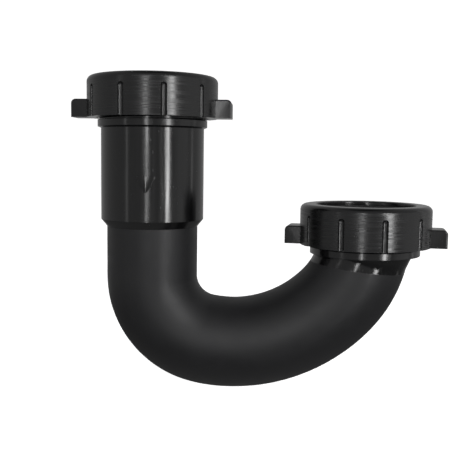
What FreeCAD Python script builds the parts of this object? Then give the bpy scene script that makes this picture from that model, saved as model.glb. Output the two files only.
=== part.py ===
import FreeCAD, Part
import Sketcher
import math
import os

# Trap bend (the J of a P-trap) with its two winged slip nuts and two washers.
# Millimetres. +Z is up, +X points from the inlet leg towards the outlet leg.
# The origin is on the inlet leg's axis, where the socket's straight wall begins
# just under the cone that seats the inlet washer.

os.makedirs("parts", exist_ok=True)
doc = FreeCAD.newDocument("trap_bend_assembly")
V = FreeCAD.Vector

# ---------------------------------------------------------------- sizes
# (alias, value) for every chosen size, then (alias, formula) for what follows from them.
CHOSEN = [
    ("thread_pitch", 2.2087),
    ("thread_crest_radius", 24.0),
    ("thread_crest_width", 0.35),
    ("thread_base_width", 1.736),
    ("thread_sink", 0.3),
    ("hub_radius", 22.8),
    ("collar_radius", 24.25),
    ("collar_height", 2.9),
    ("collar_below_nut", 3.95),
    ("mouth_lead", 1.6),
    ("hub_below_nut", 44.6),
    ("hub_taper_drop", 3.2),
    ("tube_radius", 20.2),
    ("tube_wall", 3.0),
    ("socket_radius", 19.35),
    ("socket_depth", 57.0),
    ("seat_radius", 21.5),
    ("leg_to_sweep", 72.0),
    ("corner_height", 84.4),
    ("corner_centre_radius", 29.6),
    ("corner_turn", 79.0),
    ("main_turn", 137.0),
    ("rise_centre_radius", 44.3),
    ("leg_spacing", 95.25),
    ("outlet_mouth_drop", 55.1),
    ("outlet_flare_radius", 20.9),
    ("outlet_flare_drop", 0.4),
    ("outlet_root_radius", 18.4),
    ("outlet_root_drop", 6.0),
    ("outlet_mouth_chamfer", 0.8),
    ("nut_radius", 28.9),
    ("nut_height", 18.0),
    ("nut_lip", 2.0),
    ("nut_hole_radius", 21.8),
    ("nut_edge_round", 2.6),
    ("nut_hole_round", 0.6),
    ("nut_root_radius", 24.3),
    ("nut_crest_radius", 23.1),
    ("nut_crest_width", 0.42),
    ("nut_base_width", 1.806),
    ("nut_entry_radius", 25.3),
    ("wing_reach", 35.3),
    ("wing_height", 8.0),
    ("wing_thickness", 13.0),
    ("wing_corner", 2.0),
    ("wing_end_round", 0.8),
    ("flute_radius", 1.35),
    ("flute_stand_off", 0.15),
    ("flute_run_out", 1.0),
    ("flute_top", 13.5),
    ("flute_step", 36.0),
    ("inlet_nut_angle", -1.7),
    ("outlet_nut_angle", -10.6),
    ("inlet_washer_hole", 19.2),
    ("inlet_washer_radius", 22.75),
    ("inlet_washer_flange", 1.6),
    ("inlet_washer_cone_top", 21.1),
    ("inlet_washer_cone_drop", 1.4),
    ("outlet_washer_hole", 18.4),
    ("outlet_washer_radius", 22.75),
    ("outlet_washer_thickness", 1.8),
]

FOLLOWS = [
    ("bore_radius", "=tube_radius - tube_wall"),
    ("inlet_mouth", "=seat_radius - socket_radius"),
    ("inlet_nut_bottom", "=inlet_mouth + inlet_washer_flange + nut_lip - nut_height"),
    ("inlet_collar_bottom", "=inlet_nut_bottom - collar_below_nut"),
    ("inlet_collar_top", "=inlet_collar_bottom + collar_height"),
    ("inlet_collar_foot", "=inlet_collar_bottom - (collar_radius - hub_radius) * 0.4"),
    ("hub_end", "=inlet_nut_bottom - hub_below_nut"),
    ("hub_taper_end", "=hub_end - hub_taper_drop"),
    ("sweep_start", "=inlet_mouth - leg_to_sweep"),
    ("corner_z", "=inlet_mouth - corner_height"),
    ("socket_floor", "=inlet_mouth - socket_depth"),
    ("socket_step_end", "=socket_floor - (socket_radius - bore_radius)"),
    ("main_centre_radius",
     "=(leg_spacing - corner_centre_radius * (1 - cos(corner_turn * 1 deg))"
     " - rise_centre_radius * (1 + cos(main_turn * 1 deg)))"
     " / (cos(corner_turn * 1 deg) - cos(main_turn * 1 deg))"),
    ("outlet_mouth", "=inlet_mouth - outlet_mouth_drop"),
    ("outlet_nut_bottom", "=outlet_mouth + outlet_washer_thickness + nut_lip - nut_height"),
    ("outlet_collar_bottom", "=outlet_nut_bottom - collar_below_nut"),
    ("outlet_collar_top", "=outlet_collar_bottom + collar_height"),
    ("outlet_flare_z", "=outlet_collar_bottom - outlet_flare_drop"),
    ("outlet_root_z", "=outlet_collar_bottom - outlet_root_drop"),
    ("nut_lip_z", "=nut_height - nut_lip"),
    ("nut_entry_height", "=nut_entry_radius - nut_root_radius"),
    ("wing_start", "=nut_entry_radius + 0.3"),
    ("inlet_washer_cone_foot", "=inlet_washer_cone_top - inlet_washer_cone_drop"),
    ("inlet_washer_cone_z", "=-inlet_washer_cone_drop"),
]

sheet = doc.addObject("Spreadsheet::Sheet", "Sizes")
for row, (alias, value) in enumerate(CHOSEN + FOLLOWS, start=1):
    sheet.set("A%d" % row, alias)
    sheet.set("B%d" % row, str(value))
    sheet.setAlias("B%d" % row, alias)
doc.recompute()


def size(name):
    """The number a sheet alias holds; a leading minus turns its sign."""
    if name.startswith("-"):
        return -size(name[1:])
    found = sheet.get(name)
    return float(found.Value if hasattr(found, "Value") else found)


# ---------------------------------------------------------------- helpers
def new_body(name):
    body = doc.addObject("PartDesign::Body", name)
    body.Label = name
    return body


def origin_plane(body, role):
    return [item for item in body.Origin.OriginFeatures if item.Role == role][0]


def new_sketch(body, name, role, offset=None):
    sketch = body.newObject("Sketcher::SketchObject", name)
    sketch.AttachmentSupport = [(origin_plane(body, role), "")]
    sketch.MapMode = "FlatFace"
    if offset is not None:
        sketch.AttachmentOffset = offset
    return sketch


def pin_point(sketch, geo, end, spot):
    """Tie one point of a sketch to two sheet aliases, or to an axis where the alias is '0'."""
    for axis, name, kind, line in ((0, spot[0], "DistanceX", -2), (1, spot[1], "DistanceY", -1)):
        if name == "0":
            sketch.addConstraint(Sketcher.Constraint("PointOnObject", geo, end, line))
            continue
        index = sketch.addConstraint(Sketcher.Constraint(kind, -1, 1, geo, end, size(name)))
        text = "-Sizes." + name[1:] if name.startswith("-") else "Sizes." + name
        sketch.setExpression("Constraints[%d]" % index, text)


def coordinate(name):
    return 0.0 if name == "0" else size(name)


def outline(body, name, role, spots, offset=None):
    """A closed outline of straight lines whose corners are pairs of sheet aliases."""
    sketch = new_sketch(body, name, role, offset)
    points = [V(coordinate(x), coordinate(y), 0) for x, y in spots]
    count = len(points)
    for index in range(count):
        sketch.addGeometry(Part.LineSegment(points[index], points[(index + 1) % count]), False)
    for index in range(count):
        sketch.addConstraint(Sketcher.Constraint("Coincident", index, 2, (index + 1) % count, 1))
        pin_point(sketch, index, 1, spots[index])
    return sketch


def turned(body, kind, name, sketch):
    """A revolution or a groove of an outline about its own upright axis."""
    feature = body.newObject("PartDesign::" + kind, name)
    feature.Profile = sketch
    feature.ReferenceAxis = (sketch, ["V_Axis"])
    feature.Angle = 360.0
    return feature


def thread_ridge(body, name, offset, centre, crest, base, height):
    """A helical ridge; crest and base are (radius alias or value, width alias)."""
    sketch = new_sketch(body, name + "_profile", "XZ_Plane", offset)
    crest_r, crest_w = crest[0], size(crest[1])
    base_r, base_w = base[0], size(base[1])
    points = [
        V(base_r, centre - base_w / 2, 0),
        V(crest_r, centre - crest_w / 2, 0),
        V(crest_r, centre + crest_w / 2, 0),
        V(base_r, centre + base_w / 2, 0),
    ]
    for index in range(4):
        sketch.addGeometry(Part.LineSegment(points[index], points[(index + 1) % 4]), False)
    for index in range(4):
        sketch.addConstraint(Sketcher.Constraint("Coincident", index, 2, (index + 1) % 4, 1))
    ridge = body.newObject("PartDesign::AdditiveHelix", name)
    ridge.Profile = sketch
    ridge.ReferenceAxis = (sketch, ["V_Axis"])
    ridge.Mode = 0
    ridge.setExpression("Pitch", "Sizes.thread_pitch")
    ridge.Height = height
    ridge.Angle = 0.0
    ridge.LeftHanded = False
    ridge.Reversed = False
    return ridge


def thread_cut_back(body, name, offset, spots):
    """Trim the open end of a thread to a lead-in cone with a turned cut of plain numbers."""
    sketch = new_sketch(body, name + "_profile", "XZ_Plane", offset)
    count = len(spots)
    for index in range(count):
        first = V(spots[index][0], spots[index][1], 0)
        last = V(spots[(index + 1) % count][0], spots[(index + 1) % count][1], 0)
        sketch.addGeometry(Part.LineSegment(first, last), False)
    for index in range(count):
        sketch.addConstraint(Sketcher.Constraint("Coincident", index, 2, (index + 1) % count, 1))
    return turned(body, "Groove", name, sketch)


def shrink_check(body, feature, before, what):
    """Stop if a cut went the wrong way and took nothing off."""
    doc.recompute()
    after = feature.Shape.Volume
    if not after < before - 1e-3:
        raise RuntimeError("%s: %s removed nothing" % (body.Label, what))
    return after


def upright(x, z=0.0):
    """The shift that moves a sketch on the XZ plane to an upright axis at x."""
    return FreeCAD.Placement(V(x, z, 0), FreeCAD.Rotation())


# ---------------------------------------------------------------- thread phases
# A nut's ridge starts at this height over the nut's bottom face, on the nut's own +X side.
NUT_RIDGE_START = 2.2


def bend_ridge_start(nut_bottom, nut_angle, near):
    """Height of the bend's ridge at +X that leaves the nut's ridge in the middle of the groove."""
    pitch = size("thread_pitch")
    start = nut_bottom + NUT_RIDGE_START - pitch * nut_angle / 360.0 - pitch / 2
    return start + pitch * round((near - start) / pitch)


# ---------------------------------------------------------------- the bend
# The rings that shape the swept tube stand about this many degrees apart along its bends.
RING_STEP = 9.0
# A turned cut that trims a thread passes its crest and its foot by these much.
PAST_CREST = 0.6
PAST_FOOT = 0.2
# The bend's ridges start inside the collar, this far under the collar's top.
IN_COLLAR = 1.3
# A nut's ridge runs this far into its lip, so that it never ends in the open.
IN_LIP = 0.9


def centreline():
    """Stations (x, z, heading) down the leg, round the corner, along the sweep and up."""
    turns = [
        (size("corner_centre_radius"), 0.0, size("corner_turn")),
        (size("main_centre_radius"), size("corner_turn"), size("main_turn")),
        (size("rise_centre_radius"), size("main_turn"), 180.0),
    ]
    top = size("sweep_start")
    x, z = 0.0, size("corner_z")
    stations = [(0.0, top + (z - top) * index / 4, 0.0) for index in range(4)]
    for radius, begin, finish in turns:
        count = max(2, int(round((finish - begin) / RING_STEP)))
        first = math.radians(begin)
        for index in range(count + 1):
            heading = begin + (finish - begin) * index / count
            angle = math.radians(heading)
            station = (
                x + radius * (math.cos(first) - math.cos(angle)),
                z - radius * (math.sin(angle) - math.sin(first)),
                heading)
            if index < count:
                stations.append(station)
        x, z = station[0], station[1]
    stations.append((x, z, 180.0))
    return stations


def ring_sketch(body, name, station, alias):
    """A circle square to the centreline at one station."""
    x, z, heading = station
    sketch = new_sketch(body, name, "XY_Plane")
    flat = FreeCAD.Rotation(V(0, 1, 0), -heading)
    sketch.AttachmentOffset = FreeCAD.Placement(V(x, 0, z), flat)
    sketch.addGeometry(Part.Circle(V(0, 0, 0), V(0, 0, 1), size(alias)), False)
    sketch.addConstraint(Sketcher.Constraint("Coincident", 0, 3, -1, 1))
    index = sketch.addConstraint(Sketcher.Constraint("Radius", 0, size(alias)))
    sketch.setExpression("Constraints[%d]" % index, "Sizes." + alias)
    return sketch


def tube_loft(body, kind, name, stations, alias):
    """A loft through the rings of one radius alias along the centreline."""
    rings = []
    for number, station in enumerate(stations):
        rings.append(ring_sketch(body, "%s_ring_%02d" % (name, number), station, alias))
    loft = body.newObject("PartDesign::" + kind, name)
    loft.Profile = rings[0]
    loft.Sections = rings[1:]
    loft.Ruled = False
    loft.Closed = False
    return loft


def build_bend():
    body = new_body("trap_bend")
    axis = upright(size("leg_spacing"))

    leg = outline(body, "leg_profile", "XZ_Plane", [
        ("0", "inlet_mouth"),
        ("hub_radius", "inlet_mouth"),
        ("hub_radius", "inlet_collar_top"),
        ("collar_radius", "inlet_collar_top"),
        ("collar_radius", "inlet_collar_bottom"),
        ("hub_radius", "inlet_collar_foot"),
        ("hub_radius", "hub_end"),
        ("tube_radius", "hub_taper_end"),
        ("tube_radius", "sweep_start"),
        ("0", "sweep_start"),
    ])
    turned(body, "Revolution", "leg", leg)

    stations = centreline()
    tube_loft(body, "AdditiveLoft", "sweep", stations, "tube_radius")

    spud = outline(body, "spud_profile", "XZ_Plane", [
        ("0", "outlet_mouth"),
        ("hub_radius", "outlet_mouth"),
        ("hub_radius", "outlet_collar_top"),
        ("collar_radius", "outlet_collar_top"),
        ("collar_radius", "outlet_collar_bottom"),
        ("outlet_flare_radius", "outlet_flare_z"),
        ("outlet_root_radius", "outlet_root_z"),
        ("0", "outlet_root_z"),
    ], axis)
    turned(body, "Revolution", "spud", spud)

    pitch = size("thread_pitch")
    crest_r = size("thread_crest_radius")
    sunk_r = size("hub_radius") - size("thread_sink")
    lead = size("mouth_lead")
    legs = (
        ("inlet", None, size("inlet_mouth"), size("inlet_nut_bottom"), size("inlet_nut_angle"),
         size("inlet_collar_top")),
        ("outlet", axis, size("outlet_mouth"), size("outlet_nut_bottom"),
         size("outlet_nut_angle"), size("outlet_collar_top")),
    )
    for word, offset, mouth, nut_bottom, nut_angle, collar_top in legs:
        start = bend_ridge_start(nut_bottom, nut_angle, collar_top - IN_COLLAR)
        thread_ridge(
            body, word + "_thread", offset, start,
            (crest_r, "thread_crest_width"), (sunk_r, "thread_base_width"),
            mouth + pitch - start)
        reach = crest_r + PAST_CREST
        before = body_volume(body)
        cut = thread_cut_back(body, word + "_thread_lead", offset, [
            (sunk_r - PAST_FOOT, mouth),
            (size("hub_radius"), mouth),
            (reach, mouth - lead * (reach - size("hub_radius")) / (crest_r - size("hub_radius"))),
            (reach, mouth + 2 * pitch),
            (sunk_r - PAST_FOOT, mouth + 2 * pitch),
        ])
        shrink_check(body, cut, before, word + " thread lead")

    before = body_volume(body)
    bore = tube_loft(body, "SubtractiveLoft", "waterway", stations, "bore_radius")
    before = shrink_check(body, bore, before, "waterway")

    socket = outline(body, "socket_profile", "XZ_Plane", [
        ("0", "inlet_mouth"),
        ("seat_radius", "inlet_mouth"),
        ("socket_radius", "0"),
        ("socket_radius", "socket_floor"),
        ("bore_radius", "socket_step_end"),
        ("bore_radius", "sweep_start"),
        ("0", "sweep_start"),
    ])
    before = shrink_check(body, turned(body, "Groove", "socket", socket), before, "socket")

    rise_end = stations[-1][1]
    chamfer = size("outlet_mouth_chamfer")
    mouth = size("outlet_mouth")
    bore_r = size("bore_radius")
    port = thread_cut_back(body, "outlet_port", axis, [
        (0.0, mouth),
        (bore_r + chamfer, mouth),
        (bore_r, mouth - chamfer),
        (bore_r, rise_end),
        (0.0, rise_end),
    ])
    shrink_check(body, port, before, "outlet port")
    body.Tip = port
    return body


def body_volume(body):
    doc.recompute()
    return body.Tip.Shape.Volume


# ---------------------------------------------------------------- the nuts
def build_nut(name, place):
    body = new_body(name)
    shell = outline(body, "shell_profile", "XZ_Plane", [
        ("nut_root_radius", "nut_entry_height"),
        ("nut_entry_radius", "0"),
        ("nut_radius", "0"),
        ("nut_radius", "nut_height"),
        ("nut_hole_radius", "nut_height"),
        ("nut_hole_radius", "nut_lip_z"),
        ("nut_root_radius", "nut_lip_z"),
    ])
    turned(body, "Revolution", "shell", shell)

    wing = outline(body, "wing_profile", "XZ_Plane", [
        ("wing_start", "0"),
        ("wing_reach", "0"),
        ("wing_reach", "wing_height"),
        ("wing_start", "wing_height"),
    ])
    pad = body.newObject("PartDesign::Pad", "wing")
    pad.Profile = wing
    pad.SideType = "Symmetric"
    pad.setExpression("Length", "Sizes.wing_thickness")
    pair = body.newObject("PartDesign::PolarPattern", "wings")
    pair.Originals = [pad]
    pair.Axis = (wing, ["V_Axis"])
    pair.Angle = 360.0
    pair.Occurrences = 2
    body.Tip = pair
    doc.recompute()

    rounds = fillet(body, "wing_corners", pair, "wing_corner", wing_top_edge)
    rounds = fillet(body, "wing_sides", rounds, "wing_end_round", wing_end_edge)
    rounds = fillet(body, "shoulder", rounds, "nut_edge_round", shoulder_edge)
    rounds = fillet(body, "hole_edge", rounds, "nut_hole_round", hole_edge)

    before = rounds.Shape.Volume
    for side in range(2):
        turn = size("flute_step") + 180.0 * side
        flute = flute_cut(body, "flute_%d" % side, turn)
        row = body.newObject("PartDesign::PolarPattern", "flutes_%d" % side)
        row.Originals = [flute]
        row.Axis = (wing, ["V_Axis"])
        row.setExpression("Angle", "Sizes.flute_step * 3")
        row.Occurrences = 4
        body.Tip = row
        before = shrink_check(body, row, before, "flutes")

    sunk = size("nut_root_radius") + size("thread_sink")
    ridge = thread_ridge(
        body, "nut_thread", None, NUT_RIDGE_START,
        (size("nut_crest_radius"), "nut_crest_width"), (sunk, "nut_base_width"),
        size("nut_lip_z") + IN_LIP - NUT_RIDGE_START)
    body.Tip = ridge
    doc.recompute()
    body.Placement = place
    return body


def fillet(body, name, base, alias, wanted):
    """Round every edge of the feature that the test picks."""
    numbered = enumerate(base.Shape.Edges, start=1)
    edges = ["Edge%d" % number for number, edge in numbered if wanted(edge)]
    if not edges:
        raise RuntimeError("%s: no edge for %s" % (body.Label, name))
    feature = body.newObject("PartDesign::Fillet", name)
    feature.Base = (base, edges)
    feature.setExpression("Radius", "Sizes." + alias)
    body.Tip = feature
    doc.recompute()
    return feature


def level(edge):
    box = edge.BoundBox
    return box.ZMax - box.ZMin < 1e-4


def wing_top_edge(edge):
    """The outer top edge of a wing, along Y."""
    middle = edge.CenterOfMass
    at_end = abs(abs(middle.x) - size("wing_reach")) < 1e-3
    return level(edge) and at_end and abs(middle.z - size("wing_height")) < 1e-3


def wing_end_edge(edge):
    """The upright edges at a wing's outer end."""
    box = edge.BoundBox
    middle = edge.CenterOfMass
    upright_line = box.ZLength > 2.0 and box.XLength < 1e-3 and box.YLength < 1e-3
    return upright_line and abs(abs(middle.x) - size("wing_reach")) < 1e-3


def ring_edge(edge, radius, height):
    same_size = hasattr(edge.Curve, "Radius") and abs(edge.Curve.Radius - radius) < 1e-3
    return same_size and level(edge) and abs(edge.CenterOfMass.z - height) < 1e-3


def shoulder_edge(edge):
    return ring_edge(edge, size("nut_radius"), size("nut_height"))


def hole_edge(edge):
    return ring_edge(edge, size("nut_hole_radius"), size("nut_height"))


def flute_cut(body, name, turn):
    """A half-round upright flute with a ball end, cut into the nut's outside at an angle."""
    radius = size("flute_radius")
    reach = size("nut_radius") + size("flute_stand_off")
    ball = size("flute_top") - radius
    a = math.radians(turn)
    offset = FreeCAD.Placement(
        V(reach * math.cos(a), 0, -reach * math.sin(a)),
        FreeCAD.Rotation(V(0, 1, 0), -turn))
    sketch = new_sketch(body, name + "_profile", "XZ_Plane", offset)
    foot = V(0, -size("flute_run_out"), 0)
    side = V(radius, -size("flute_run_out"), 0)
    sketch.addGeometry(Part.LineSegment(foot, side), False)
    sketch.addGeometry(Part.LineSegment(side, V(radius, ball, 0)), False)
    circle = Part.Circle(V(0, ball, 0), V(0, 0, 1), radius)
    sketch.addGeometry(Part.ArcOfCircle(circle, 0.0, math.pi / 2), False)
    sketch.addGeometry(Part.LineSegment(V(0, ball + radius, 0), foot), False)
    sketch.addConstraint(Sketcher.Constraint("Coincident", 0, 2, 1, 1))
    sketch.addConstraint(Sketcher.Constraint("Coincident", 1, 2, 2, 1))
    sketch.addConstraint(Sketcher.Constraint("Coincident", 2, 2, 3, 1))
    sketch.addConstraint(Sketcher.Constraint("Coincident", 3, 2, 0, 1))
    return turned(body, "Groove", name, sketch)


# ---------------------------------------------------------------- the washers
def build_washer(name, spots, place):
    body = new_body(name)
    profile = outline(body, "ring_profile", "XZ_Plane", spots)
    ring = turned(body, "Revolution", "ring", profile)
    body.Tip = ring
    doc.recompute()
    body.Placement = place
    return body


bend = build_bend()
inlet_nut = build_nut("inlet_nut", FreeCAD.Placement(
    V(0, 0, size("inlet_nut_bottom")),
    FreeCAD.Rotation(V(0, 0, 1), size("inlet_nut_angle"))))
outlet_nut = build_nut("outlet_nut", FreeCAD.Placement(
    V(size("leg_spacing"), 0, size("outlet_nut_bottom")),
    FreeCAD.Rotation(V(0, 0, 1), size("outlet_nut_angle"))))
inlet_washer = build_washer("inlet_washer", [
    ("inlet_washer_hole", "inlet_washer_cone_z"),
    ("inlet_washer_cone_foot", "inlet_washer_cone_z"),
    ("inlet_washer_cone_top", "0"),
    ("inlet_washer_radius", "0"),
    ("inlet_washer_radius", "inlet_washer_flange"),
    ("inlet_washer_hole", "inlet_washer_flange"),
], FreeCAD.Placement(V(0, 0, size("inlet_mouth")), FreeCAD.Rotation()))
outlet_washer = build_washer("outlet_washer", [
    ("outlet_washer_hole", "0"),
    ("outlet_washer_radius", "0"),
    ("outlet_washer_radius", "outlet_washer_thickness"),
    ("outlet_washer_hole", "outlet_washer_thickness"),
], FreeCAD.Placement(V(size("leg_spacing"), 0, size("outlet_mouth")), FreeCAD.Rotation()))

# ---------------------------------------------------------------- checks and export
doc.recompute()
for item in doc.Objects:
    if "Invalid" in item.State or "Error" in item.State:
        raise RuntimeError("%s is not sound: %s" % (item.Name, item.State))

for part in (bend, inlet_nut, outlet_nut, inlet_washer, outlet_washer):
    shape = part.Shape
    if shape.isNull() or not shape.isValid() or len(shape.Solids) != 1:
        raise RuntimeError("%s has no sound single solid" % part.Label)
    shape.exportStep(os.path.join("parts", part.Label + ".step"))
    print("%s %.1f mm3" % (part.Label, shape.Volume))
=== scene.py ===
import math

import bpy
from mathutils import Matrix, Vector


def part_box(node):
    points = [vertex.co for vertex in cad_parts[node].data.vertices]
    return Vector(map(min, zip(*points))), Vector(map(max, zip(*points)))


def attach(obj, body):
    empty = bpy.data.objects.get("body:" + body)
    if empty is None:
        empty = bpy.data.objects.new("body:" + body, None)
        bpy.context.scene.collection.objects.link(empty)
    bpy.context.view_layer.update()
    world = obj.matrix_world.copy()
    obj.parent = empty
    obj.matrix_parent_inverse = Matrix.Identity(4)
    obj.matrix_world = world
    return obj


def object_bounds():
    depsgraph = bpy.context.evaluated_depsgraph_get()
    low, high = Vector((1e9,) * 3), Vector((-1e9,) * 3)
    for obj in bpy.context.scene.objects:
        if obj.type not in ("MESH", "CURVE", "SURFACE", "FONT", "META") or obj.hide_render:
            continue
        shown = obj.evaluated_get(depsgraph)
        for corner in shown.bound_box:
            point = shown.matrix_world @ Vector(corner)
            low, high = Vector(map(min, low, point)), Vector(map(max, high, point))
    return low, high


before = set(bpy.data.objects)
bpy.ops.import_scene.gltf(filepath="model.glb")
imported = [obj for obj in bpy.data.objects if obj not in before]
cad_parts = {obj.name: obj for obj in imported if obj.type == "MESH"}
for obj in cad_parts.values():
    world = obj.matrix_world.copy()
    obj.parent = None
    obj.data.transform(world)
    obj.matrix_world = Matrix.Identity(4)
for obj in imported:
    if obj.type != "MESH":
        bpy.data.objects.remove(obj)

MM = 0.001
cad_low, cad_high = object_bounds()
scene = bpy.context.scene
scene.view_settings.view_transform = "Standard"

# ------------------------------------------------------------------ places taken from the frame
inlet_nut_low, inlet_nut_high = (Vector(corner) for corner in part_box("inlet_nut"))
outlet_nut_low, outlet_nut_high = (Vector(corner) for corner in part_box("outlet_nut"))
INLET_X = (inlet_nut_low.x + inlet_nut_high.x) / 2
OUTLET_X = (outlet_nut_low.x + outlet_nut_high.x) / 2
HUB_RADIUS = 22.8 * MM
HUB_END_Z = inlet_nut_low.z - 44.6 * MM
TAPER_END_Z = HUB_END_Z - 3.2 * MM
SOCKET_WALL_RADIUS = 20.0 * MM
BETWEEN_LEGS_X = 29.5 * MM
# The polished spud below the outlet ends on a slope: SPUD_TILT is its fall along X.
SPUD_END_Z = outlet_nut_low.z - 10.2 * MM
SPUD_TILT = 0.11
NUT_RADIUS = 28.9 * MM
FLOOR_Z = cad_low.z - 0.3 * MM

# ------------------------------------------------------------------ the eye
# It stands level with the inlet socket, a little to its right, and looks slightly down.
LOOK_AT = Vector((32.67, 0.0, -59.4)) * MM
EYE_DISTANCE = 326.4 * MM
EYE_YAW, EYE_PITCH, EYE_ROLL = (math.radians(angle) for angle in (-1.78, 5.46, 0.70))
LENS = 58.1
SENSOR_WIDTH = 36.0


def place_camera():
    ahead = Vector((
        math.sin(EYE_YAW) * math.cos(EYE_PITCH),
        math.cos(EYE_YAW) * math.cos(EYE_PITCH),
        -math.sin(EYE_PITCH)))
    right = Vector((math.cos(EYE_YAW), -math.sin(EYE_YAW), 0.0))
    up = right.cross(ahead)
    rolled_right = right * math.cos(EYE_ROLL) + up * math.sin(EYE_ROLL)
    rolled_up = up * math.cos(EYE_ROLL) - right * math.sin(EYE_ROLL)
    camera = bpy.data.objects.new("camera", bpy.data.cameras.new("camera"))
    scene.collection.objects.link(camera)
    turn = Matrix((rolled_right, rolled_up, -ahead)).transposed().to_4x4()
    camera.matrix_world = Matrix.Translation(LOOK_AT - ahead * EYE_DISTANCE) @ turn
    camera.data.sensor_width = SENSOR_WIDTH
    camera.data.lens = LENS
    camera.data.clip_start = 0.01
    camera.data.clip_end = 20.0
    scene.camera = camera


# ------------------------------------------------------------------ material tools
def linear(hex_colour):
    """An sRGB hex colour as the linear colour that the shaders take."""
    shares = [int(hex_colour[i:i + 2], 16) / 255 for i in (1, 3, 5)]
    channels = [c / 12.92 if c <= 0.04045 else ((c + 0.055) / 1.055) ** 2.4 for c in shares]
    return (*channels, 1.0)


def add_node(tree, kind, settings=None, links=None):
    """Adds a shader node; settings are its properties and input values, links feed its inputs."""
    made = tree.nodes.new(kind)
    for key, value in (settings or {}).items():
        if isinstance(key, int) or key in made.inputs.keys():
            made.inputs[key].default_value = value
        else:
            setattr(made, key, value)
    for key, source in (links or {}).items():
        tree.links.new(source, made.inputs[key])
    return made


def new_material(name):
    material = bpy.data.materials.new(name)
    material.use_nodes = True
    tree = material.node_tree
    tree.nodes.clear()
    return material, tree


def ramp(tree, source, low, high, to_low=0.0, to_high=1.0, smooth=True):
    """Maps a value between two limits to two others, with a soft or a straight passage."""
    settings = {
        "interpolation_type": "SMOOTHSTEP" if smooth else "LINEAR",
        "From Min": low, "From Max": high, "To Min": to_low, "To Max": to_high}
    return add_node(tree, "ShaderNodeMapRange", settings, {"Value": source}).outputs["Result"]


def combine(tree, operation, first, second, third=None):
    """A Math node of two or three inputs, each a socket or a number."""
    made = tree.nodes.new("ShaderNodeMath")
    made.operation = operation
    for index, value in enumerate((first, second, third)):
        if value is None:
            continue
        if isinstance(value, (int, float)):
            made.inputs[index].default_value = value
        else:
            tree.links.new(value, made.inputs[index])
    return made.outputs["Value"]


def tint(tree, amount, first, second):
    """A colour that passes from one hex colour to another as the amount rises."""
    made = add_node(tree, "ShaderNodeMix", {"data_type": "RGBA"}, {0: amount})
    for index, colour in ((6, first), (7, second)):
        if isinstance(colour, str):
            made.inputs[index].default_value = linear(colour)
        else:
            tree.links.new(colour, made.inputs[index])
    return made.outputs[2]


def grain(tree, place, size_mm, detail=2.0, stretch=(1.0, 1.0, 1.0)):
    """Noise whose features are about size_mm across, stretched along the axes of the object."""
    fit = add_node(tree, "ShaderNodeMapping", {"Scale": stretch}, {"Vector": place})
    settings = {"Scale": 1.0 / (size_mm * MM), "Detail": detail}
    noise = add_node(tree, "ShaderNodeTexNoise", settings, {"Vector": fit.outputs["Vector"]})
    return noise.outputs["Fac"]


def bumped(tree, height, depth_mm, normal=None, strength=1.0):
    """A bump whose height of 1 stands depth_mm proud, on the skin or on another normal."""
    settings = {"Strength": strength, "Distance": depth_mm * MM}
    links = {"Height": height}
    if normal:
        links["Normal"] = normal
    return add_node(tree, "ShaderNodeBump", settings, links).outputs["Normal"]


def soft_edges(tree, radius_mm):
    """The normal with edges rounded to a radius, and a mask that is 1 on the edges; the materials
    lighten their colour there, a painted edge highlight along with wear.
    """
    bevel = add_node(tree, "ShaderNodeBevel", {"samples": 8, "Radius": radius_mm * MM})
    rounded = bevel.outputs["Normal"]
    plain = add_node(tree, "ShaderNodeNewGeometry").outputs["Normal"]
    dot = add_node(
        tree, "ShaderNodeVectorMath", {"operation": "DOT_PRODUCT"}, {0: rounded, 1: plain})
    return rounded, ramp(tree, dot.outputs["Value"], 0.98, 0.80)


def from_axis(tree, place):
    """How far a place is from the upright axis through its origin."""
    flat = {"operation": "MULTIPLY", 1: (1.0, 1.0, 0.0)}
    ground = add_node(tree, "ShaderNodeVectorMath", flat, {0: place}).outputs["Vector"]
    length = add_node(tree, "ShaderNodeVectorMath", {"operation": "LENGTH"}, {0: ground})
    return length.outputs["Value"]


def finish_material(tree, colour, roughness, normal, ior):
    shader = add_node(tree, "ShaderNodeBsdfPrincipled", {"IOR": ior}, {
        "Base Color": colour, "Roughness": roughness, "Normal": normal})
    add_node(tree, "ShaderNodeOutputMaterial", None, {"Surface": shader.outputs["BSDF"]})


# ------------------------------------------------------------------ materials
ABS_IOR = 1.53
RUBBER_IOR = 1.52


def parting_line(tree, place, axes):
    """The fine raised line where the two halves of the mould met, down the middle of the bend.
    Outside only: the socket's inside came off a core."""
    off_plane = combine(tree, "ABSOLUTE", axes["Y"], 0.0)
    line = ramp(tree, off_plane, 0.22 * MM, 0.08 * MM)
    radius = from_axis(tree, place)
    outside = ramp(tree, radius, SOCKET_WALL_RADIUS - 0.1 * MM, SOCKET_WALL_RADIUS)
    return combine(tree, "MULTIPLY", line, outside)


def polished_zones(tree, axes):
    """1 on the hub, its cone and the outlet spud, 0 on the swept tube between them."""
    on_hub = ramp(tree, axes["Z"], TAPER_END_Z - 0.1 * MM, TAPER_END_Z + 0.1 * MM)
    inlet_side = ramp(tree, axes["X"], BETWEEN_LEGS_X + 0.5 * MM, BETWEEN_LEGS_X - 0.5 * MM)
    tilt = combine(tree, "MULTIPLY_ADD", axes["X"], SPUD_TILT, axes["Z"])
    spud_level = SPUD_END_Z + SPUD_TILT * OUTLET_X
    on_spud = ramp(tree, tilt, spud_level - 0.2 * MM, spud_level + 0.2 * MM)
    outlet_side = combine(tree, "SUBTRACT", 1.0, inlet_side)
    return combine(
        tree, "MAXIMUM",
        combine(tree, "MULTIPLY", on_hub, inlet_side),
        combine(tree, "MULTIPLY", on_spud, outlet_side))


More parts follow.
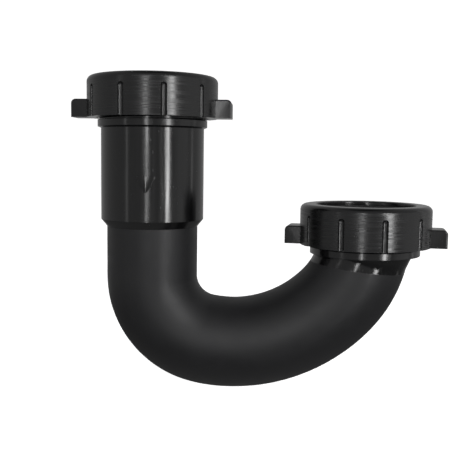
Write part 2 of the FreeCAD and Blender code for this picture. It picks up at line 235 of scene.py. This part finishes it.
def abs_bend():
    """Black ABS, injection moulded. The hub and the outlet spud came out of a polished cavity, so
    they mirror the lamps as sharp streaks. The swept tube came out of a fine spark-eroded one, so
    it is satin."""
    material, tree = new_material("abs_black_polished_and_satin")
    place = add_node(tree, "ShaderNodeTexCoord").outputs["Object"]
    axes = add_node(tree, "ShaderNodeSeparateXYZ", None, {"Vector": place}).outputs
    edge_normal, edge = soft_edges(tree, 0.35)
    polished = polished_zones(tree, axes)

    cloud = grain(tree, place, 9.0, 3.0)
    fine = grain(tree, place, 0.35, 2.0)
    streaks = grain(tree, place, 1.4, 3.0, (1.0, 1.0, 0.04))
    scuffs = ramp(tree, grain(tree, place, 0.9, 4.0, (1.0, 1.0, 0.35)), 0.66, 0.74)

    satin_colour = tint(tree, cloud, "#151517", "#1b1b1d")
    gloss_colour = tint(tree, cloud, "#0e0e0f", "#131314")
    colour = tint(tree, polished, satin_colour, gloss_colour)
    # Edges lightened towards #343437: a painted edge highlight along with wear.
    colour = tint(tree, edge, colour, "#343437")
    satin_rough = ramp(tree, cloud, 0.3, 0.7, 0.46, 0.53)
    gloss_rough = ramp(tree, streaks, 0.35, 0.65, 0.13, 0.22)
    gloss_rough = combine(tree, "MULTIPLY_ADD", scuffs, 0.18, gloss_rough)
    swap = add_node(tree, "ShaderNodeMix", None, {0: polished, 2: satin_rough, 3: gloss_rough})
    rough = combine(tree, "MULTIPLY_ADD", edge, 0.08, swap.outputs[0])

    skin = add_node(tree, "ShaderNodeMix", None, {0: polished, 2: fine, 3: streaks})
    normal = bumped(tree, skin.outputs[0], 0.020, edge_normal)
    normal = bumped(tree, scuffs, 0.012, normal, 0.5)
    normal = bumped(tree, parting_line(tree, place, axes), 0.06, normal)
    finish_material(tree, colour, rough, normal, ABS_IOR)
    return material


def abs_nut(name, axis_x):
    """Black ABS, moulded in a turned cavity: the turning marks run round the nut's wall, a fraction
    of a millimetre apart, and break each streak of light into short level dashes. The flutes and
    the wings came off ground inserts, so they are smooth."""
    material, tree = new_material(name)
    place = add_node(tree, "ShaderNodeTexCoord").outputs["Object"]
    centre = {"Location": (-axis_x, 0.0, 0.0)}
    place = add_node(tree, "ShaderNodeMapping", centre, {"Vector": place}).outputs["Vector"]
    edge = soft_edges(tree, 0.22)[1]

    radius = from_axis(tree, place)
    above_flutes = ramp(tree, radius, NUT_RADIUS - 0.3 * MM, NUT_RADIUS - 0.1 * MM)
    below_wings = ramp(tree, radius, NUT_RADIUS + 0.3 * MM, NUT_RADIUS + 0.1 * MM)
    on_wall = combine(tree, "MULTIPLY", above_flutes, below_wings)
    # Drawn 0.8 mm apart, about twice as coarse as real, so that they show.
    marks = grain(tree, place, 0.8, 2.0, (0.05, 0.05, 1.0))
    marks = combine(tree, "MULTIPLY", marks, on_wall)
    cloud = grain(tree, place, 6.0, 3.0)
    fine = grain(tree, place, 0.4, 2.0)
    nicks = ramp(tree, grain(tree, place, 0.8, 4.0), 0.69, 0.75)

    colour = tint(tree, cloud, "#111112", "#171718")
    # Edges lightened towards #2e2e30: a painted edge highlight along with wear, in place of rounded
    # edges catching the lamps.
    colour = tint(tree, edge, colour, "#2e2e30")
    rough = ramp(tree, marks, 0.3, 0.7, 0.20, 0.32)
    rough = combine(tree, "MULTIPLY_ADD", nicks, 0.15, rough)
    rough = combine(tree, "MULTIPLY_ADD", edge, 0.08, rough)
    normal = bumped(tree, marks, 0.020)
    normal = bumped(tree, fine, 0.006, normal)
    normal = bumped(tree, nicks, 0.02, normal, 0.5)
    finish_material(tree, colour, rough, normal, ABS_IOR)
    return material


def rubber_washer():
    """Black moulded rubber with a bloom of talc: dull, a little lighter than the plastic."""
    material, tree = new_material("rubber_black_talc")
    place = add_node(tree, "ShaderNodeTexCoord").outputs["Object"]
    edge_normal, edge = soft_edges(tree, 0.3)
    bloom = grain(tree, place, 3.0, 4.0)
    fine = grain(tree, place, 0.25, 2.0)
    colour = tint(tree, ramp(tree, bloom, 0.4, 0.7), "#1c1c1d", "#313133")
    # Edges lightened towards #3c3c3d: a painted edge highlight along with wear.
    colour = tint(tree, edge, colour, "#3c3c3d")
    rough = ramp(tree, fine, 0.3, 0.7, 0.62, 0.80)
    normal = bumped(tree, fine, 0.02, edge_normal)
    finish_material(tree, colour, rough, normal, RUBBER_IOR)
    return material


def dress(thing, material):
    thing.data.materials.clear()
    thing.data.materials.append(material)


# ------------------------------------------------------------------ CAD nodes
CREASE = math.radians(30)


def smooth_skin(thing):
    """Smooth shading on a CAD node: joined while shown, with creases over 30 degrees kept."""
    for face in thing.data.polygons:
        face.use_smooth = True
    weld = thing.modifiers.new("join_triangles", "WELD")
    weld.merge_threshold = 0.002 * MM
    split = thing.modifiers.new("keep_creases", "EDGE_SPLIT")
    split.split_angle = CREASE
    split.use_edge_sharp = False


bpy.ops.object.select_all(action="DESELECT")
place_camera()
washer_rubber = rubber_washer()
coats = {
    "trap_bend": abs_bend(),
    "inlet_nut": abs_nut("abs_black_turned_inlet", INLET_X),
    "outlet_nut": abs_nut("abs_black_turned_outlet", OUTLET_X),
    "inlet_washer": washer_rubber,
    "outlet_washer": washer_rubber,
}
for node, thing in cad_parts.items():
    dress(thing, coats[node])
    smooth_skin(thing)


# ------------------------------------------------------------------ flow mark
MARK_RADIUS = 5.2 * MM
MARK_CORNER = 1.3 * MM
MARK_Z = HUB_END_Z + 17.0 * MM
MARK_PROUD = 0.28 * MM
MARK_SUNK = 0.22 * MM
MARK_STRIP = 0.4 * MM
MARK_RIM = 0.12 * MM
BEFORE_HUB_Y = -HUB_RADIUS - 4.0 * MM


def flow_mark():
    """A plain raised triangle on the front of the hub, which points the way the water runs."""
    bpy.ops.object.select_all(action="DESELECT")
    bpy.ops.mesh.primitive_circle_add(
        vertices=3, radius=MARK_RADIUS, fill_type="NGON",
        location=(INLET_X, BEFORE_HUB_Y, MARK_Z), rotation=(-math.pi / 2, 0.0, 0.0))
    mark = bpy.context.active_object
    mark.name = "flow_mark"
    bpy.ops.object.transform_apply(location=True, rotation=True, scale=True)

    bpy.ops.object.mode_set(mode="EDIT")
    bpy.ops.mesh.select_all(action="SELECT")
    bpy.ops.mesh.bevel(affect="VERTICES", offset=MARK_CORNER, segments=5)
    # Cut into upright strips, so that the sheet can follow the round hub.
    strips = int(2 * MARK_RADIUS / MARK_STRIP)
    for strip in range(1, strips):
        bpy.ops.mesh.select_all(action="SELECT")
        across = INLET_X - MARK_RADIUS + strip * MARK_STRIP
        bpy.ops.mesh.bisect(plane_co=(across, 0.0, 0.0), plane_no=(1.0, 0.0, 0.0))
    bpy.ops.object.mode_set(mode="OBJECT")

    wrap = mark.modifiers.new("lay_on_hub", "SHRINKWRAP")
    wrap.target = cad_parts["trap_bend"]
    wrap.wrap_method = "PROJECT"
    wrap.use_project_y = True
    wrap.use_positive_direction = True
    wall = mark.modifiers.new("raise", "SOLIDIFY")
    wall.thickness = MARK_PROUD + MARK_SUNK
    wall.offset = (MARK_SUNK - MARK_PROUD) / (MARK_SUNK + MARK_PROUD)
    rim = mark.modifiers.new("round_rim", "BEVEL")
    rim.width = MARK_RIM
    rim.segments = 2
    rim.angle_limit = math.radians(50)
    for name in [modifier.name for modifier in mark.modifiers]:
        bpy.ops.object.modifier_apply(modifier=name)
    bpy.ops.object.mode_set(mode="EDIT")
    bpy.ops.mesh.select_all(action="SELECT")
    bpy.ops.mesh.remove_doubles(threshold=0.002 * MM)
    bpy.ops.mesh.normals_make_consistent(inside=False)
    bpy.ops.object.mode_set(mode="OBJECT")
    bpy.ops.object.shade_smooth_by_angle(angle=CREASE)
    dress(mark, coats["trap_bend"])
    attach(mark, "bend")


flow_mark()


# ------------------------------------------------------------------ stage
PAPER_SIDE = 6.0
PAPER_MIDDLE_Y = -1.0
PAPER_CURVE = 1.0
PAPER_RISE = 2.0


def pale_sweep():
    """A paper sweep: floor under the object, curving up well behind it. Lit from within, it stays
    white, and the black plastic does not see it."""
    bpy.ops.object.select_all(action="DESELECT")
    bpy.ops.mesh.primitive_plane_add(size=PAPER_SIDE, location=(0.0, PAPER_MIDDLE_Y, FLOOR_Z))
    sweep = bpy.context.active_object
    sweep.name = "paper_sweep"
    back_y = PAPER_SIDE / 2
    for edge in sweep.data.edges:
        ends = [sweep.data.vertices[i].co.y for i in edge.vertices]
        edge.select = min(ends) > back_y - 0.1
    bpy.ops.object.mode_set(mode="EDIT")
    bpy.ops.mesh.select_mode(type="EDGE")
    bpy.ops.mesh.spin(
        steps=24, angle=math.pi / 2, axis=(1.0, 0.0, 0.0),
        center=(0.0, PAPER_MIDDLE_Y + back_y, FLOOR_Z + PAPER_CURVE))
    bpy.ops.mesh.extrude_region_move(TRANSFORM_OT_translate={"value": (0.0, 0.0, PAPER_RISE)})
    bpy.ops.object.mode_set(mode="OBJECT")
    bpy.ops.object.shade_smooth()
    # Plain pale paper, matt.
    material, tree = new_material("paper_pale_matt")
    shade = add_node(tree, "ShaderNodeBsdfPrincipled", {
        "Base Color": linear("#f2f2f2"), "Roughness": 0.95,
        "Emission Color": (1.0, 1.0, 1.0, 1.0), "Emission Strength": 0.86})
    add_node(tree, "ShaderNodeOutputMaterial", None, {"Surface": shade.outputs["BSDF"]})
    dress(sweep, material)
    sweep.visible_glossy = False
    sweep.visible_diffuse = False


def soft_box(name, spot, aim, width, height, watts):
    data = bpy.data.lights.new(name, "AREA")
    data.shape = "RECTANGLE"
    data.size, data.size_y, data.energy = width, height, watts
    lamp = bpy.data.objects.new(name, data)
    scene.collection.objects.link(lamp)
    lamp.location = spot
    lamp.rotation_euler = (Vector(spot) - Vector(aim)).to_track_quat("Z", "Y").to_euler()


# Name, place, what it faces, width, height and watts.
LAMPS = (
    ("strip_left", (-0.052, -0.594, 0.0), (0.03, 0.0, -0.05), 0.03, 0.6, 0.70),
    ("strip_right", (0.422, -0.517, 0.0), (0.05, 0.0, -0.05), 0.08, 0.6, 2.3),
    ("strip_far_left", (-0.46, -0.386, 0.0), (0.0, 0.0, -0.05), 0.03, 0.6, 0.07),
    ("strip_far_right", (0.585, 0.135, 0.0), (0.0, 0.0, -0.05), 0.03, 0.6, 0.05),
    ("panel_right", (0.62, -0.15, -0.02), (0.05, 0.0, -0.05), 0.35, 0.5, 0.12),
)

# Brightness of the tent by the height of the direction, from -1, straight down, to 1, overhead.
TENT_BANDS = ((-1.0, 0.24), (-0.6, 0.13), (-0.33, 0.09), (-0.2, 0.38), (0.88, 0.33), (0.98, 0.02))


def light_tent():
    """The world: a grey tent, brightest from the horizon up, dark below it and overhead."""
    world = bpy.data.worlds.new("light_tent")
    scene.world = world
    world.use_nodes = True
    tree = world.node_tree
    tree.nodes.clear()
    aim = add_node(tree, "ShaderNodeTexCoord").outputs["Generated"]
    height = add_node(tree, "ShaderNodeSeparateXYZ", None, {"Vector": aim}).outputs["Z"]
    along = ramp(tree, height, -1.0, 1.0, smooth=False)
    bands = add_node(tree, "ShaderNodeValToRGB", None, {"Fac": along})
    stops = bands.color_ramp.elements
    while len(stops) < len(TENT_BANDS):
        stops.new(0.5)
    for stop, (rise, grey) in zip(stops, TENT_BANDS):
        stop.position = (rise + 1.0) / 2
        stop.color = (grey, grey, grey, 1.0)
    grey_tent = add_node(
        tree, "ShaderNodeBackground", {"Strength": 1.0}, {"Color": bands.outputs["Color"]})
    add_node(tree, "ShaderNodeOutputWorld", None, {"Surface": grey_tent.outputs["Background"]})


pale_sweep()
light_tent()
for lamp in LAMPS:
    soft_box(*lamp)
